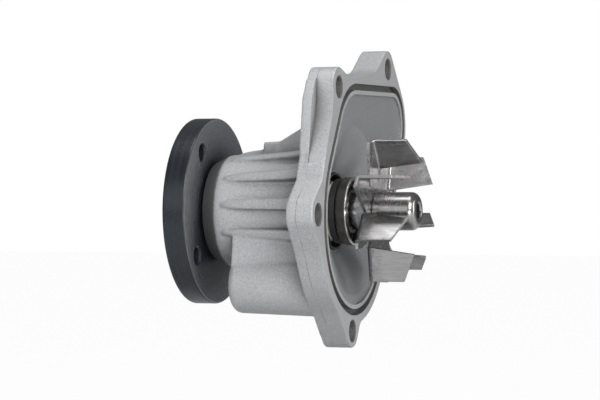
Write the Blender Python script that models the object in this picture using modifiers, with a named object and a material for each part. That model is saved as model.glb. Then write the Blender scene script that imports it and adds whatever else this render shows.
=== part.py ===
"""Automotive water pump, built as an assembly of separate solids.

Frame: +X runs along the shaft from the pulley flange to the impeller, +Z is up.
The origin is where the shaft axis meets the mounting face, the plane X = 0.
Sizes are in millimetres; the helpers turn them into metres.
"""
import bmesh
import bpy
from math import acos, cos, pi, radians, sin, sqrt, tan
from mathutils import Matrix, Vector

MM = 0.001
GAP = 0.3                    # clearance between pieces that touch in the real pump
WELD = 0.00001               # merge distance in metres
ROUND = 40                   # steps around a large turned piece
SMALL = 28                   # steps around a small turned piece

# Shaft, bearing and flange
SHAFT_R = 7.95               # standard 5/8 inch bearing shaft
SHAFT_NOSE_R = 5.9           # stepped end that carries the impeller hub
CENTRE_R = 3.1               # centre drilling in that end
CENTRE_DEPTH = 12.0
BEARING_R = 17.5
BEARING_X = (-54.0, -24.0)
BALL_R = 3.2
BALL_PITCH_R = 10.9
BALL_COUNT = 8
BALL_ROWS = {"front": -47.0, "rear": -31.0}
FLANGE_R = 40.0
FLANGE_X = (-72.7, -62.7)
FLANGE_HUB_R = 15.0          # hub that reaches into the open end of the bearing boss
FLANGE_HUB_X = -57.6
FLANGE_BOLT_R = 31.0         # pitch radius of the four pulley bolt holes
FLANGE_BOLT_ANGLES = [37.5 + 90 * i for i in range(4)]
FLANGE_HOLE_R = 3.5

# Housing
PLATE_BACK = -11.5
LUG_HOLE_R = 4.5
LUG_R = 8.1
LUGS = {                     # bolt hole centres (Y, Z)
    "near_top": (-23.1, 51.7),
    "far_top": (45.6, 62.4),
    "near_mid": (-50.2, -1.2),
    "bottom": (-5.4, -50.5),
    "far_low": (46.0, -23.5),
}
BOSS_R = 24.1
BOSS_EDGE = -56.0            # where the boss starts to taper towards the flange
BOSS_END = -61.8
RIB_ANGLES = [195.5 - 28 * i for i in range(9)]
RIB_WIDTH = 3.8
LOWER_BOSS = (-17.0, -30.9)  # axis of the closed lower boss (Y, Z)
LOWER_BOSS_R = 12.1
LOWER_BOSS_END = -48.2
CHAMBER = [(-1.0, -2.0, 37.6), (0.8, 26.0, 23.6), (53.3, 38.2, 12.4)]  # arcs (Y, Z, r)
RIDGE = 1.7                  # width of the lip between chamber and seal groove
GROOVE = 2.8                 # width of the seal groove
GROOVE_DEPTH = 3.0
CHAMBER_DEPTH = 1.0
SEAL_BORE_R = 16.7

# Impeller
BLADES = 7
BLADE_ANGLE = 101.5          # outer edge of the first blade
BLADE_SWEEP = 20.4           # how far the inner edge trails behind
BLADE_OUT_R = 30.2
BLADE_IN_R = 18.2
BLADE_LEAN = 0.81            # share of the chord where the free inner corner stands
BLADE_OUT_X = 23.6
BLADE_IN_X = 28.6
SHEET = 1.3
WEB_X = 8.5
NOTCH_R = 13.3
HUB_R = 8.1
HUB_END = 27.6
NOSE_FILLET = 3.2

# Columns carry local x, y, z onto world Y, Z, X, so a local Z axis lies along the shaft.
ALONG_X = Matrix(((0, 0, 1, 0), (1, 0, 0, 0), (0, 1, 0, 0), (0, 0, 0, 1)))

MATERIALS = {                # colour, roughness, metallic
    "cast_aluminium": ((0.62, 0.63, 0.64), 0.55, 0.85),
    "black_steel": ((0.03, 0.032, 0.036), 0.38, 0.6),
    "ground_steel": ((0.62, 0.62, 0.63), 0.25, 1.0),
    "stainless_sheet": ((0.66, 0.65, 0.64), 0.22, 1.0),
    "black_rubber": ((0.02, 0.02, 0.02), 0.6, 0.0),
    "carbon": ((0.05, 0.05, 0.055), 0.45, 0.0),
    "ceramic": ((0.85, 0.82, 0.76), 0.35, 0.0),
    "brown_cage": ((0.32, 0.2, 0.1), 0.5, 0.0),
}


def clear_scene():
    for obj in list(bpy.data.objects):
        bpy.data.objects.remove(obj, do_unlink=True)
    for group in list(bpy.data.collections):
        bpy.data.collections.remove(group)


def collection(name):
    group = bpy.data.collections.new(name)
    bpy.context.scene.collection.children.link(group)
    return group


def material(slot):
    """The slot's Principled material, made once and shared by the pieces that use it."""
    found = bpy.data.materials.get(slot)
    if found:
        return found
    colour, roughness, metallic = MATERIALS[slot]
    made = bpy.data.materials.new(slot)
    made.use_nodes = True
    shader = made.node_tree.nodes["Principled BSDF"]
    shader.inputs["Base Color"].default_value = (*colour, 1.0)
    shader.inputs["Roughness"].default_value = roughness
    shader.inputs["Metallic"].default_value = metallic
    return made


def polar(radius, degrees, centre=(0.0, 0.0)):
    angle = radians(degrees)
    return (centre[0] + radius * cos(angle), centre[1] + radius * sin(angle))


def new_object(name, mesh, matrix=ALONG_X):
    obj = bpy.data.objects.new(name, mesh)
    PARTS.objects.link(obj)
    obj.matrix_world = matrix
    return obj


def turned(name, profile, steps=ROUND, centre=(0.0, 0.0)):
    """Turn (x, radius) points about the shaft direction; the outer side runs from +X to -X.

    A profile that starts and ends on the axis is a solid; any other is closed into a ring.
    """
    mesh = bpy.data.meshes.new(name)
    points = [(radius * MM, 0.0, x * MM) for x, radius in profile]
    edges = [(i, i + 1) for i in range(len(points) - 1)]
    if profile[0][1] > 0:
        edges.append((len(points) - 1, 0))
    mesh.from_pydata(points, edges, [])
    shift = Matrix.Translation(Vector((0.0, centre[0] * MM, centre[1] * MM)))
    obj = new_object(name, mesh, shift @ ALONG_X)
    screw = obj.modifiers.new("turn", "SCREW")
    screw.axis = "Z"
    screw.steps = screw.render_steps = steps
    screw.use_merge_vertices = True
    screw.merge_threshold = WELD
    screw.use_smooth_shade = True
    return obj


def slab(name, outline, low, high, matrix=ALONG_X):
    """Extrude a closed outline between two heights along the matrix's third axis."""
    curve = bpy.data.curves.new(name, "CURVE")
    curve.dimensions = "2D"
    curve.fill_mode = "BOTH"
    curve.extrude = (high - low) / 2 * MM
    spline = curve.splines.new("POLY")
    spline.points.add(len(outline) - 1)
    for point, (across, up) in zip(spline.points, outline):
        point.co = (across * MM, up * MM, 0.0, 1.0)
    spline.use_cyclic_u = True
    flat = bpy.data.objects.new(name + "_outline", curve)
    PARTS.objects.link(flat)
    flat.matrix_world = matrix @ Matrix.Translation((0.0, 0.0, (low + high) / 2 * MM))
    bpy.context.view_layer.update()
    mesh = bpy.data.meshes.new_from_object(flat.evaluated_get(bpy.context.evaluated_depsgraph_get()))
    build = bmesh.new()
    build.from_mesh(mesh)
    bmesh.ops.remove_doubles(build, verts=build.verts, dist=WELD)
    bmesh.ops.recalc_face_normals(build, faces=build.faces)
    build.to_mesh(mesh)
    build.free()
    place = flat.matrix_world.copy()
    bpy.data.objects.remove(flat)
    return new_object(name, mesh, place)


def rounded(corners, step=12.0):
    """Round each (y, z, radius) corner of a polygon with an arc; step is in degrees."""
    outline = []
    count = len(corners)
    for i, (y, z, radius) in enumerate(corners):
        here = Vector((y, z))
        before = (Vector(corners[i - 1][:2]) - here).normalized()
        after = (Vector(corners[(i + 1) % count][:2]) - here).normalized()
        opening = acos(max(-1.0, min(1.0, before.dot(after))))
        reach = radius / tan(opening / 2)
        centre = here + (before + after).normalized() * radius / sin(opening / 2)
        start = here + before * reach - centre
        end = here + after * reach - centre
        sweep = start.angle_signed(end)
        pieces = max(2, round(abs(sweep) / radians(step)))
        for k in range(pieces + 1):
            turn = Matrix.Rotation(-sweep * k / pieces, 2)
            outline.append(tuple(centre + turn @ start))
    return outline


def belt(arcs, grow, steps=72):
    """The outline of a belt drawn round several circles, grown outward by a margin."""
    outline = []
    for k in range(steps):
        angle = 2 * pi * k / steps
        across, up = cos(angle), sin(angle)
        y, z, radius = max(arcs, key=lambda arc: arc[0] * across + arc[1] * up + arc[2])
        outline.append((y + (radius + grow) * across, z + (radius + grow) * up))
    return outline


def combine(target, others, operation):
    """One Boolean with several solids, which move to a collection under the cutters."""
    group = bpy.data.collections.new(f"{target.name}_{operation.lower()}")
    CUTTERS.children.link(group)
    for other in others:
        PARTS.objects.unlink(other)
        group.objects.link(other)
        other.hide_render = True
        other.display_type = "WIRE"
    modifier = target.modifiers.new(group.name, "BOOLEAN")
    modifier.operation = operation
    modifier.solver = "EXACT"
    modifier.operand_type = "COLLECTION"
    modifier.collection = group


def cut(target, others):
    combine(target, others, "DIFFERENCE")


def join(target, others):
    combine(target, others, "UNION")


def drill(name, radius, low, high, centre, steps=24):
    """A round cutter along the shaft direction."""
    profile = [(high, 0.0), (high, radius), (low, radius), (low, 0.0)]
    return turned(name, profile, steps, centre)


def finish(obj, slot):
    """Give a piece its material and smooth shading with crisp edges."""
    obj.data.materials.clear()
    obj.data.materials.append(material(slot))
    if obj.data.polygons:
        obj.data.shade_smooth()
        obj.data.set_sharp_from_angle(angle=radians(32))
    return obj


def plate_corners():
    """Corners of the mounting plate, anticlockwise from the far lower lug."""
    rim = CHAMBER[0][2] + RIDGE + GROOVE + 3.5
    corner = CHAMBER[2][2] + RIDGE + GROOVE + 3.5
    return [
        (50.0, -34.4, LUG_R),
        (56.9, -19.5, LUG_R),
        (44.2, -13.6, 5.0),
        (77.6, 40.2, corner),
        (46.8, 72.9, LUG_R),
        (27.0, 60.2, 16.0),
        (-8.0, 56.0, 20.0),
        (-31.3, 62.7, LUG_R),
        (-31.2, 42.0, 18.0),
        (-40.2, 24.5, 24.0),
        (-45.2, 12.8, 6.0),
        (-61.2, 0.6, 7.8),
        (-47.0, -17.0, 10.0),
        (-36.1, -33.6, rim),
        (-24.5, -42.3, 12.0),
        (-4.0, -62.2, LUG_R),
        (5.5, -47.3, 5.0),
        (23.4, -43.4, rim),
        (36.6, -28.2, 4.0),
    ]


def housing():
    """Cast body: plate, bearing boss, ribs, lower boss, chamber, groove and bores."""
    body = slab("housing", rounded(plate_corners(), 6.0), PLATE_BACK, 0.0)
    added = [back_shelf(), bearing_boss(), lower_boss(), vent_ridge()]
    removed = chamber_cutters() + bore_cutters()
    for name, centre in LUGS.items():
        removed.append(drill("hole_" + name, LUG_HOLE_R, PLATE_BACK - 2.0, 2.0, centre, 16))
    added += [rib(i, angle) for i, angle in enumerate(RIB_ANGLES)]
    join(body, added)
    cut(body, removed)
    return finish(body, "cast_aluminium")


def back_shelf():
    """Rear layer of the plate, which stands proud of the front layer below the near lug."""
    corners = [(-30.6, 57.0, 3.0), (-37.0, 46.5, 7.0), (-41.4, 22.0, 2.0), (-33.0, 22.0, 2.0),
               (-24.0, 50.0, 2.0)]
    return slab("back_shelf", rounded(corners), PLATE_BACK + GAP, -7.2)


def bearing_boss():
    profile = [(-8.0, 0.0), (-8.0, 30.0), (PLATE_BACK, 30.0), (-13.2, 27.2), (-17.0, 25.4),
               (-24.0, 24.8), (BOSS_EDGE + 1.6, BOSS_R), (BOSS_EDGE - 0.2, 23.7), (BOSS_EDGE - 2.2, 22.8),
               (BOSS_END, 21.2), (BOSS_END, 0.0)]
    return turned("bearing_boss", profile, 48)


def lower_boss():
    """Closed boss under the bearing, with a web that ties it to the bearing boss."""
    end = LOWER_BOSS_END
    r = LOWER_BOSS_R
    profile = [(-8.0, 0.0), (-8.0, r + 1.0), (end + 3.0, r), (end + 1.2, r - 0.6),
               (end + 0.3, r - 2.0), (end, r - 4.0), (end, 0.0)]
    body = turned("lower_boss", profile, 32, LOWER_BOSS)
    web = [(-24.0, -11.0), (-26.0, -25.0), (-17.0, -34.0), (-4.0, -30.0), (0.0, -10.0)]
    join(body, [slab("lower_web", web, end + 0.8, -9.0)])
    return body


def vent_ridge():
    """Sloping fin on top of the bearing boss with the small flat vent pad on it."""
    fin = [(-10.0, 20.0), (-10.0, 42.0), (-24.3, 34.9), (-34.6, 29.6), (-39.9, 29.4),
           (-40.8, 26.9), (-47.0, 23.2), (-47.0, 20.0)]
    upright = Matrix(((1, 0, 0, 0), (0, 0, -1, 0), (0, 1, 0, 0), (0, 0, 0, 1)))
    return slab("vent_ridge", fin, -6.5, 6.5, upright)


def rib(index, angle):
    """Wedge that grows from the front of the boss to the plate."""
    wedge = [(-9.0, 20.0), (-9.0, 30.5), (-24.0, 27.4), (-44.0, 25.7), (-52.5, 23.4), (-52.5, 20.0)]
    turn = Matrix.Rotation(radians(angle), 4, "X")
    return slab(f"rib_{index}", wedge, -RIB_WIDTH / 2, RIB_WIDTH / 2, turn)


def chamber_cutters():
    """Shallow chamber floor, dished towards the seal, inside a lip and a seal groove."""
    chamber = slab("chamber", belt(CHAMBER, 0.0), -CHAMBER_DEPTH, 2.0)
    dish = [(1.0, 0.0), (1.0, 37.0), (-0.8, 37.0), (-1.6, 35.0), (-4.2, 28.0), (-7.6, 21.0),
            (-9.4, SEAL_BORE_R + 1.2), (-10.0, SEAL_BORE_R + 0.7), (-10.0, 0.0)]
    groove = slab("groove", belt(CHAMBER, RIDGE + GROOVE), -GROOVE_DEPTH, 1.0)
    cut(groove, [slab("groove_island", belt(CHAMBER, RIDGE), -GROOVE_DEPTH - 1.0, 2.0)])
    return [chamber, turned("dish", dish, 48), groove]


def bore_cutters():
    """Seal bore, weep space, bearing bore and the drilled weep and vent holes."""
    right = BEARING_X[1]
    bore = [(-9.0, 0.0), (-9.0, SEAL_BORE_R), (-22.6, SEAL_BORE_R), (right + GAP, 14.0),
            (right + GAP, BEARING_R + GAP), (BOSS_END - 1.0, BEARING_R + GAP), (BOSS_END - 1.0, 0.0)]
    cutters = [turned("bore", bore, ROUND)]
    for name, angle, reach in (("weep", 302.0, 34.0), ("vent", 62.0, 34.0)):
        hole = drill(name, 2.5, 12.0, reach, (0.0, 0.0), 16)
        turn = Matrix.Rotation(radians(angle), 4, "X")
        outward = Matrix(((1, 0, 0, 0), (0, 0, 1, 0), (0, -1, 0, 0), (0, 0, 0, 1)))
        hole.matrix_world = Matrix.Translation((-23.3 * MM, 0.0, 0.0)) @ turn @ outward
        cutters.append(hole)
    return cutters


def pulley_flange():
    low, high = FLANGE_X
    r = FLANGE_R
    bore = SHAFT_R + GAP
    profile = [(FLANGE_HUB_X, bore + 0.6), (FLANGE_HUB_X, FLANGE_HUB_R - 0.8),
               (FLANGE_HUB_X - 0.8, FLANGE_HUB_R), (high - 0.4, FLANGE_HUB_R),
               (high, FLANGE_HUB_R + 0.5), (high, r - 1.0), (high - 1.0, r), (low + 1.0, r),
               (low, r - 1.0), (low, bore + 0.8), (low + 0.8, bore), (FLANGE_HUB_X - 0.6, bore)]
    body = turned("pulley_flange", profile, 64)
    holes = []
    for i, angle in enumerate(FLANGE_BOLT_ANGLES):
        hole = [(high + 1.0, 0.0), (high + 1.0, FLANGE_HOLE_R + 2.0), (high - 1.0, FLANGE_HOLE_R),
                (low + 1.0, FLANGE_HOLE_R), (low - 1.0, FLANGE_HOLE_R + 2.0), (low - 1.0, 0.0)]
        holes.append(turned(f"flange_hole_{i}", hole, 16, polar(FLANGE_BOLT_R, angle)))
    cut(body, holes)
    return finish(body, "black_steel")


def pump_shaft():
    shoulder = WEB_X - SHEET / 2 - GAP
    end = HUB_END - 3.4
    low = FLANGE_X[0] + 0.4
    profile = [(end - CENTRE_DEPTH, 0.0), (end - CENTRE_DEPTH, CENTRE_R), (end, CENTRE_R),
               (end, SHAFT_NOSE_R - 0.8), (end - 0.8, SHAFT_NOSE_R),
               (shoulder, SHAFT_NOSE_R), (shoulder, SHAFT_R - 0.5), (shoulder - 0.5, SHAFT_R)]
    half = 2.4               # half width of each ball track
    for x in sorted(BALL_ROWS.values(), reverse=True):
        profile.append((x + half, SHAFT_R))
        profile.append((x + half / 2, SHAFT_R - 0.42))
        profile.append((x, SHAFT_R - 0.56))
        profile.append((x - half / 2, SHAFT_R - 0.42))
        profile.append((x - half, SHAFT_R))
    profile += [(low + 0.8, SHAFT_R), (low, SHAFT_R - 0.8), (low, 0.0)]
    return finish(turned("pump_shaft", profile, SMALL), "ground_steel")


def bearing():
    """Outer ring, two rows of balls in cages, and the two lip seals."""
    low, high = BEARING_X
    inner = 13.2
    profile = [(high, inner + 0.9), (high, BEARING_R - 0.6), (high - 0.6, BEARING_R),
               (low + 0.6, BEARING_R), (low, BEARING_R - 0.6), (low, inner + 0.9),
               (low + 2.6, inner + 0.9), (low + 2.6, inner)]
    for x in sorted(BALL_ROWS.values()):
        for share in (-1.0, -0.6, 0.0, 0.6, 1.0):
            across = share * 2.5
            track = BALL_PITCH_R + sqrt((BALL_R + 0.15) ** 2 - across ** 2)
            profile.append((x + across, max(inner, track)))
    profile += [(high - 2.6, inner), (high - 2.6, inner + 0.9)]
    finish(turned("bearing_outer_ring", profile, ROUND), "ground_steel")
    for row, edge in (("front", low + 0.2), ("rear", high - 2.2)):
        lip = [(edge + 2.0, SHAFT_R + 0.1), (edge + 2.0, inner + 0.5), (edge, inner + 0.5),
               (edge, SHAFT_R + 1.6), (edge + 0.8, SHAFT_R + 1.2), (edge + 1.2, SHAFT_R + 0.1)]
        finish(turned("bearing_seal_" + row, lip, SMALL), "black_rubber")
    for row, x in BALL_ROWS.items():
        ball_row(row, x)


def ball_row(row, x):
    """One cage with its balls; the cage ring is pierced by a pocket for each ball."""
    ring = [(x + 4.3, 9.7), (x + 4.3, 12.1), (x - 4.3, 12.1), (x - 4.3, 9.7)]
    cage = turned("ball_cage_" + row, ring, 32)
    pockets = []
    for i in range(BALL_COUNT):
        centre = polar(BALL_PITCH_R, 360 * i / BALL_COUNT + 11)
        pockets.append(sphere(f"pocket_{row}_{i}", BALL_R + 0.35, x, centre))
        finish(sphere(f"ball_{row}_{i + 1}", BALL_R, x, centre), "ground_steel")
    cut(cage, pockets)
    finish(cage, "brown_cage")


def sphere(name, radius, x, centre):
    mesh = bpy.data.meshes.new(name)
    build = bmesh.new()
    bmesh.ops.create_uvsphere(build, u_segments=10, v_segments=6, radius=radius * MM)
    build.to_mesh(mesh)
    build.free()
    shift = Matrix.Translation((x * MM, centre[0] * MM, centre[1] * MM))
    return new_object(name, mesh, shift @ ALONG_X)


def static_seal():
    """Pressed case, rubber bellows and spring that stay with the housing."""
    out = SEAL_BORE_R - GAP
    case = [(-9.3, out - 0.9), (-9.3, out), (-21.8, out), (-21.8, 9.4), (-16.0, 9.4), (-16.0, 10.2),
            (-21.0, 10.2), (-21.0, out - 0.9)]
    finish(turned("seal_case", case, ROUND), "black_steel")
    bellows = [(-13.9, 11.2), (-13.9, 12.6), (-16.6, 12.6), (-17.4, 11.9), (-18.3, 12.6),
               (-20.6, 12.6), (-20.6, 10.6), (-18.6, 10.6), (-17.4, 11.0), (-16.2, 10.6),
               (-15.4, 11.2)]
    finish(turned("seal_bellows", bellows, SMALL), "black_rubber")
    finish(spring("seal_spring", 14.1, 0.5, -20.2, -14.5, 3), "ground_steel")
    ring = [(-10.2, 9.2), (-10.2, 11.4), (-12.0, 11.4), (-12.0, 13.4), (-13.6, 13.4), (-13.6, 9.2)]
    finish(turned("seal_carbon_ring", ring, SMALL), "carbon")


def spring(name, radius, wire, low, high, turns):
    """Round-wire compression spring as a swept helix with closed ends."""
    curve = bpy.data.curves.new(name, "CURVE")
    curve.dimensions = "3D"
    curve.bevel_depth = wire * MM
    curve.bevel_resolution = 1
    curve.use_fill_caps = True
    spline = curve.splines.new("POLY")
    count = 16 * turns
    spline.points.add(count)
    for i, point in enumerate(spline.points):
        y, z = polar(radius, 360 * turns * i / count)
        x = low + (high - low) * i / count
        point.co = (x * MM, y * MM, z * MM, 1.0)
    obj = bpy.data.objects.new(name, curve)
    PARTS.objects.link(obj)
    bpy.context.view_layer.update()
    mesh = bpy.data.meshes.new_from_object(obj.evaluated_get(bpy.context.evaluated_depsgraph_get()))
    build = bmesh.new()
    build.from_mesh(mesh)
    bmesh.ops.remove_doubles(build, verts=build.verts, dist=WELD)
    bmesh.ops.recalc_face_normals(build, faces=build.faces)
    build.to_mesh(mesh)
    build.free()
    bpy.data.objects.remove(obj)
    return new_object(name, mesh, Matrix.Identity(4))


def rotating_seal():
    """Stainless cup, rubber boot and ceramic ring that turn with the shaft."""
    cup = [(-0.5, 13.5), (-0.5, 14.4), (-4.9, 14.4), (-5.4, 13.8), (-5.4, SHAFT_R + GAP),
           (-1.6, SHAFT_R + GAP), (-1.6, SHAFT_R + 1.2), (-4.5, SHAFT_R + 1.2), (-4.5, 13.5)]
    finish(turned("seal_rotor_cup", cup, ROUND), "stainless_sheet")
    boot = [(-5.7, SHAFT_R + GAP), (-5.7, 13.8), (-8.4, 13.8), (-8.4, 13.0), (-6.7, 13.0),
            (-6.7, SHAFT_R + GAP)]
    finish(turned("seal_rotor_boot", boot, SMALL), "black_rubber")
    ring = [(-7.0, SHAFT_R + 0.8), (-7.0, 12.7), (-9.9, 12.7), (-9.9, SHAFT_R + 0.8)]
    finish(turned("seal_ceramic_ring", ring, SMALL), "ceramic")


def blade_chord(index):
    """Outer and inner ends of a blade's foot line on the web, in the YZ plane."""
    angle = BLADE_ANGLE + 360 * index / BLADES
    outer = Vector(polar(BLADE_OUT_R, angle))
    inner = Vector(polar(BLADE_IN_R, angle - BLADE_SWEEP))
    return outer, inner


def impeller():
    """Stamped web with an arm for each blade; each blade is folded forward off its arm."""
    back, front = WEB_X - SHEET / 2, WEB_X + SHEET / 2
    bore = SHAFT_NOSE_R + GAP
    disc = [(front, bore), (front, NOTCH_R), (back, NOTCH_R), (back, bore)]
    body = turned("impeller", disc, ROUND)
    added = []
    for i in range(BLADES):
        angle = BLADE_ANGLE + 360 * i / BLADES
        outer, inner = blade_chord(i)
        along = (inner - outer).normalized()
        side = Vector((-along.y, along.x))
        arm = [polar(10.0, angle), polar(10.0, angle - 14), polar(12.9, angle - 20.2), inner,
               inner + side * SHEET * 0.9, outer + side * SHEET * 0.9, outer,
               polar(BLADE_OUT_R + 0.7, angle + 8), polar(14.6, angle + 29), polar(10.0, angle + 25)]
        added.append(slab(f"arm_{i}", arm, back + 0.02, front - 0.02))
        added.append(blade(i, outer, inner, along, side, back))
    join(body, added)
    return finish(body, "stainless_sheet")


def blade(index, outer, inner, along, side, back):
    """Flat four-cornered blade standing on its foot line."""
    span = (inner - outer).length
    outline = [(back + 0.05, 0.0), (back + 0.05, span), (BLADE_IN_X, span * BLADE_LEAN),
               (BLADE_OUT_X, 0.0)]
    frame = Matrix(((1, 0, 0, 0), (0, along.x, side.x, outer.x * MM),
                    (0, along.y, side.y, outer.y * MM), (0, 0, 0, 1)))
    return slab(f"blade_{index}", outline, 0.0, SHEET, frame)


def impeller_hub():
    """Thick sleeve with a rounded nose and a centre hole, pressed on the shaft end."""
    start = WEB_X + SHEET / 2 + GAP
    bore = SHAFT_NOSE_R + GAP
    nose = [(HUB_END - NOSE_FILLET * (1 - sin(radians(a))), HUB_R - NOSE_FILLET * (1 - cos(radians(a))))
            for a in (80, 60, 40, 20, 0)]
    profile = [(HUB_END - 0.6, CENTRE_R + 0.3), (HUB_END, CENTRE_R + 0.8)] + nose
    profile += [(start + 0.5, HUB_R), (start, HUB_R - 0.5), (start, bore),
                (HUB_END - 3.0, bore), (HUB_END - 3.0, CENTRE_R + 0.3)]
    return finish(turned("impeller_hub", profile, SMALL), "stainless_sheet")


clear_scene()
PARTS = collection("water_pump")
CUTTERS = collection("cutters")
housing()
pulley_flange()
pump_shaft()
bearing()
static_seal()
rotating_seal()
impeller()
impeller_hub()
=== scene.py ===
"""Looks of the automotive water pump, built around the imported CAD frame.

+X runs along the shaft from the pulley flange to the impeller, and +Z is up. X = 0 is
the machined mounting face. Shapes are in millimetres; materials, lights and the camera
are in metres.
"""

from math import acos, cos, pi, radians, sin, tan

import bmesh
import bpy
from mathutils import Matrix, Vector


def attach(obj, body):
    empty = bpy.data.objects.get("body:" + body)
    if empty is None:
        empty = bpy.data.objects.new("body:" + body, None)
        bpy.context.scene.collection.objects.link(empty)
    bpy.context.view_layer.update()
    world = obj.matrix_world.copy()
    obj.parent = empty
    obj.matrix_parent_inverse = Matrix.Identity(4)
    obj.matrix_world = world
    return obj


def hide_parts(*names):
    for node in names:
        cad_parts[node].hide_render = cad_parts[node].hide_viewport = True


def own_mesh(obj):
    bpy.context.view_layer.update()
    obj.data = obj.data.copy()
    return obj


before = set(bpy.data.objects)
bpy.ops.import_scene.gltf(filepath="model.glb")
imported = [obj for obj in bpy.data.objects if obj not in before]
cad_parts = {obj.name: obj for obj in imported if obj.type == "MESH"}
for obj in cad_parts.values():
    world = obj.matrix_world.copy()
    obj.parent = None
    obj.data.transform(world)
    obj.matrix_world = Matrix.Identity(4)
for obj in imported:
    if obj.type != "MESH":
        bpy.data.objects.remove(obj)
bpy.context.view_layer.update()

MM = 0.001
STEPS = 128                  # steps around a turned piece
WIDE_STEPS = 192             # steps around the widest ones, the flange and the dish
HOLE_STEPS = 64              # steps around a bolt hole or a centre hole
VOXEL = 0.5                  # mesh size of the cast skin
CAST_SMOOTHING = 5           # smoothing passes, which round the cast edges and corners

# Shaft, bearing and flange
SHAFT_R = 7.95
SHAFT_NOSE_R = 5.9
CENTRE_R = 3.1
CENTRE_DEPTH = 12.0
BEARING_X = (-54.0, -24.0)
BEARING_BORE_R = 17.8
BALL_ROWS = (-31.0, -47.0)
FLANGE_R = 40.0
FLANGE_X = (-72.7, -62.7)
FLANGE_HUB_R = 15.0
FLANGE_HUB_X = -57.6
FLANGE_BOLT_R = 31.0
FLANGE_BOLT_ANGLES = [37.5 + 90 * i for i in range(4)]
FLANGE_HOLE_R = 3.5

# Housing
PLATE_BACK = -11.5
LUG_HOLE_R = 4.5
LUG_R = 8.1
LUGS = {
    "near_top": (-23.1, 51.7),
    "far_top": (45.6, 62.4),
    "near_mid": (-50.2, -1.2),
    "bottom": (-5.4, -50.5),
    "far_low": (46.0, -23.5),
}
BOSS_R = 24.1
BOSS_END = -61.8
BOSS_ROOT = -8.0             # where the two bosses start, inside the plate
RIB_ROOT = -9.0              # where the ribs, fin and web start, inside the plate
STOCK = 0.45                 # cast metal in front of the mounting face, which is milled off
FLANGE_SHADE_SPAN = (-56.2, -55.2)    # stretch over which painted shade darkens the boss towards the flange
RIB_ANGLES = [195.5 - 28 * i for i in range(9)]
LOWER_BOSS = (-17.0, -30.9)
LOWER_BOSS_R = 12.1
LOWER_BOSS_END = -48.2
CHAMBER = [(-1.0, -2.0, 37.6), (0.8, 26.0, 23.6), (53.3, 38.2, 12.4)]
RIDGE = 1.7
GROOVE = 2.8
GROOVE_DEPTH = 3.0
CHAMBER_DEPTH = 1.0
SEAL_BORE_R = 16.7
SEAL_BORE_X = (-22.6, -10.0)
SEAL_STEP_R = 14.0           # opening between the seal bore and the bearing bore
DRAINS = (("weep", 302.0), ("vent", 62.0))
DRAIN_R = 2.5
DRAIN_X = -23.3
SPRING_R = 14.1
SPRING_X = (-20.2, -14.5)
SPRING_TURNS = 3
SPRING_WIRE_R = 0.5

# Rear layer of the plate below the near lug, which stands proud of the front layer
SHELF = [(-30.6, 57.0, 3.0), (-37.4, 46.5, 7.0), (-41.4, 22.0, 2.0), (-33.0, 22.0, 2.0),
         (-24.0, 50.0, 2.0)]
SHELF_X = -7.2               # its front, and the parting line of the casting

# Impeller
BLADES = 7
BLADE_ANGLE = 101.5
BLADE_SWEEP = 20.4
BLADE_OUT_R = 30.2
BLADE_IN_R = 18.2
BLADE_LEAN = 0.81
BLADE_OUT_X = 23.6
BLADE_IN_X = 28.6
SHEET = 1.3
BEND_R = 1.0                 # inner radius of the fold at a blade's foot
WEB_X = 8.5
NOTCH_R = 13.3
HUB_R = 8.1
HUB_END = 27.6
NOSE_FILLET = 3.2

# Stage, in metres: name, place, point it is turned towards, size and watts of each light
FLOOR_Z = -0.16
ORIGIN = (0.0, 0.0, 0.0)
LIGHTS = [
    ("key_right", (0.85, -1.0, 0.75), ORIGIN, (0.8, 0.8), 17.0),
    ("front_left", (-0.4, -1.2, 0.35), ORIGIN, (1.0, 0.7), 2.4),
    ("low_fill", (0.55, -0.9, -0.08), ORIGIN, (0.5, 0.14), 3.2),
    ("side_right", (1.1, 0.2, 0.25), ORIGIN, (0.4, 0.7), 4.0),
    ("top", (-0.05, -0.1, 1.0), (-0.02, 0.0, 0.0), (0.6, 0.4), 3.4),
]
CAMERA_PLACE = (0.3119, -0.9685, 0.00475)
CAMERA_TURN = 19.2           # degrees from the side view towards the impeller
CAMERA_LENS = 144.0

# Columns carry local x, y, z onto world Y, Z, X.
ALONG_X = Matrix(((0, 0, 1, 0), (1, 0, 0, 0), (0, 1, 0, 0), (0, 0, 0, 1)))


# ---------------------------------------------------------------- shapes

def polar(radius, degrees, centre=(0.0, 0.0)):
    angle = radians(degrees)
    return (centre[0] + radius * cos(angle), centre[1] + radius * sin(angle))


def object_from(name, build, mat):
    """A scene object from a bmesh, facing outward, with one material."""
    mesh = bpy.data.meshes.new(name)
    bmesh.ops.recalc_face_normals(build, faces=build.faces)
    build.to_mesh(mesh)
    build.free()
    mesh.materials.append(mat)
    obj = bpy.data.objects.new(name, mesh)
    bpy.context.scene.collection.objects.link(obj)
    return obj


def rounded(corners, step=6.0, closed=True):
    """Round each (a, b, radius) corner with an arc; corners without a radius stay sharp."""
    outline = []
    count = len(corners)
    for i, corner in enumerate(corners):
        here = Vector(corner[:2])
        radius = corner[2] if len(corner) > 2 else 0.0
        if radius == 0.0 or (not closed and i in (0, count - 1)):
            outline.append(tuple(here))
            continue
        before = (Vector(corners[i - 1][:2]) - here).normalized()
        after = (Vector(corners[(i + 1) % count][:2]) - here).normalized()
        opening = acos(max(-1.0, min(1.0, before.dot(after))))
        reach = radius / tan(opening / 2)
        centre = here + (before + after).normalized() * radius / sin(opening / 2)
        start = here + before * reach - centre
        end = here + after * reach - centre
        sweep = start.angle_signed(end)
        pieces = max(2, round(abs(sweep) / radians(step)))
        for k in range(pieces + 1):
            outline.append(tuple(centre + Matrix.Rotation(-sweep * k / pieces, 2) @ start))
    return outline


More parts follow.
